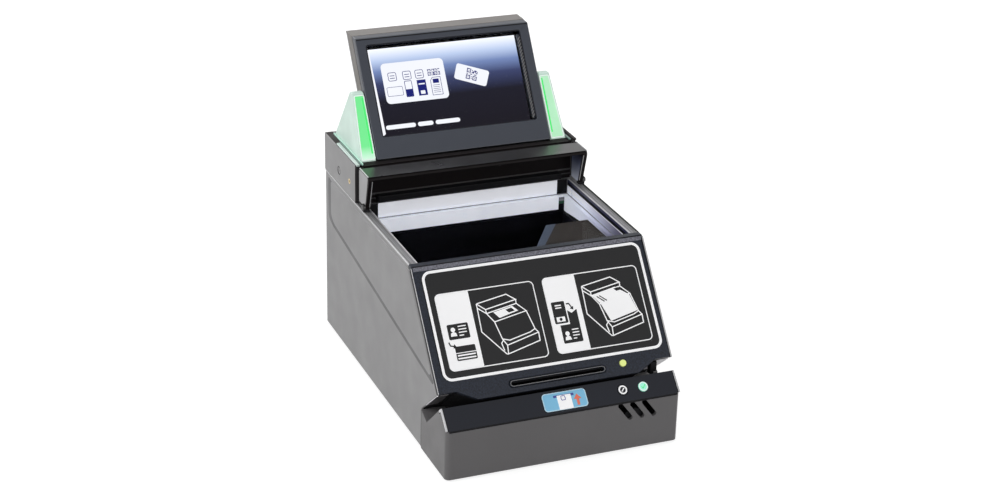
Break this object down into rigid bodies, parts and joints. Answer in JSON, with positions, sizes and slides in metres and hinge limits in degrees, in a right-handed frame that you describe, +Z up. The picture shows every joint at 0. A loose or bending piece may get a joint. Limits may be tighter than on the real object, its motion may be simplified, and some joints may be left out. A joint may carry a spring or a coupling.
{
  "type": "passport reader",
  "caption": "Counter-top passport reader with a scan window under a hood, a card-swipe nose, a chip card slot, a tilting display and two lit wings.",
  "frame": {"origin": "middle of the footprint, on the surface that the rubber feet stand on", "axes": "+X to the right of someone who faces the reader, +Y away from them, from the nose towards the display, +Z up"},
  "size_m": [0.14, 0.2154, 0.1888],
  "materials": {
    "grey_case": "fine matt texture, mid grey",
    "panel_black": "finely textured blue-black",
    "gloss_black": "polished near-black",
    "dark_case": "satin brownish black",
    "display_case": "satin warm grey",
    "bezel_black": "satin dark slate",
    "inner_black": "dull black moulding",
    "diffuser_white": "dull white, spreads light",
    "label_print": "printed film, black with white drawings",
    "badge_print": "printed film, blue with a white card",
    "window_glass": "clear flat glass",
    "green_light": "lit green moulding",
    "clear_green": "clear green-tinted moulding",
    "mint_light": "lit mint lens",
    "yellow_light": "lit yellow lens",
    "silver_light": "unlit silver lens",
    "rubber": "soft black",
    "steel": "bright plated",
    "brass": "gold-plated contacts",
    "board_green": "green solder mask",
    "screen_picture": "lit picture, blue at the top and black below",
    "mirror_silver": "front-silvered"
  },
  "bodies": {
    "reader": {"base_tray": "inner_black", "foot_front_left": "rubber", "foot_front_right": "rubber", "foot_rear_left": "rubber", "foot_rear_right": "rubber", "rear_panel": "grey_case", "main_board": "board_green", "data_port": "steel", "power_jack": "gloss_black", "lock_slot_plate": "steel", "left_side_cover": "grey_case", "right_side_cover": "grey_case", "front_panel": "panel_black", "instruction_label": "label_print", "card_slot_rim": "inner_black", "card_light": "yellow_light", "nose_cover": "grey_case", "nose_cap": "gloss_black", "card_badge": "badge_print", "ring_light": "silver_light", "ready_light": "mint_light", "channel_roof": "inner_black", "swipe_guide": "inner_black", "head_bracket": "steel", "chip_reader": "inner_black", "chip_contacts": "brass", "speaker": "inner_black", "top_frame": "grey_case", "document_glass": "window_glass", "glass_gasket": "rubber", "antenna_board": "board_green", "light_chamber": "diffuser_white", "fold_mirror": "mirror_silver", "lamp_frame": "board_green", "lens_barrel": "inner_black", "front_lens": "window_glass", "camera_board": "board_green", "header_housing": "grey_case", "header_screw_left": "steel", "header_screw_right": "steel", "header_deck": "dark_case", "document_stop": "dark_case", "hood_hinge_rod": "steel", "tilt_bracket": "steel", "wing_left": "green_light", "wing_right": "green_light", "wing_foot_left": "clear_green", "wing_foot_right": "clear_green", "wing_lamp_board": "board_green"},
    "display": {"display_bezel": "bezel_black", "screen_glass": "window_glass", "screen_panel": "screen_picture", "display_back": "display_case", "display_board": "board_green", "tilt_rod": "steel"},
    "hood": {"hood": "dark_case", "hood_foot_left": "rubber", "hood_foot_right": "rubber"},
    "magnetic_head": {"magnetic_head": "steel"},
    "card_plunger": {"card_plunger": "steel"}
  },
  "joints": [
    {"name": "display_tilt", "type": "hinge", "parent": "reader", "child": "display", "pos_m": [0, 0.06376, 0.1298], "axis": [-1, 0, 0], "range_deg": [-8, 12]},
    {"name": "hood_hinge", "type": "hinge", "parent": "reader", "child": "hood", "pos_m": [0, 0.04145, 0.125], "axis": [-1, 0, 0], "range_deg": [0, 75]},
    {"name": "head_travel", "type": "slide", "parent": "reader", "child": "magnetic_head", "axis": [0, 0.6672, 0.7449], "range_m": [-0.0008, 0], "stiffness_N_per_m": 300, "springref_m": 0.001},
    {"name": "plunger_travel", "type": "slide", "parent": "reader", "child": "card_plunger", "axis": [0, 0.7738, -0.6334], "range_m": [0, 0.0015], "stiffness_N_per_m": 60, "springref_m": -0.001}
  ]
}
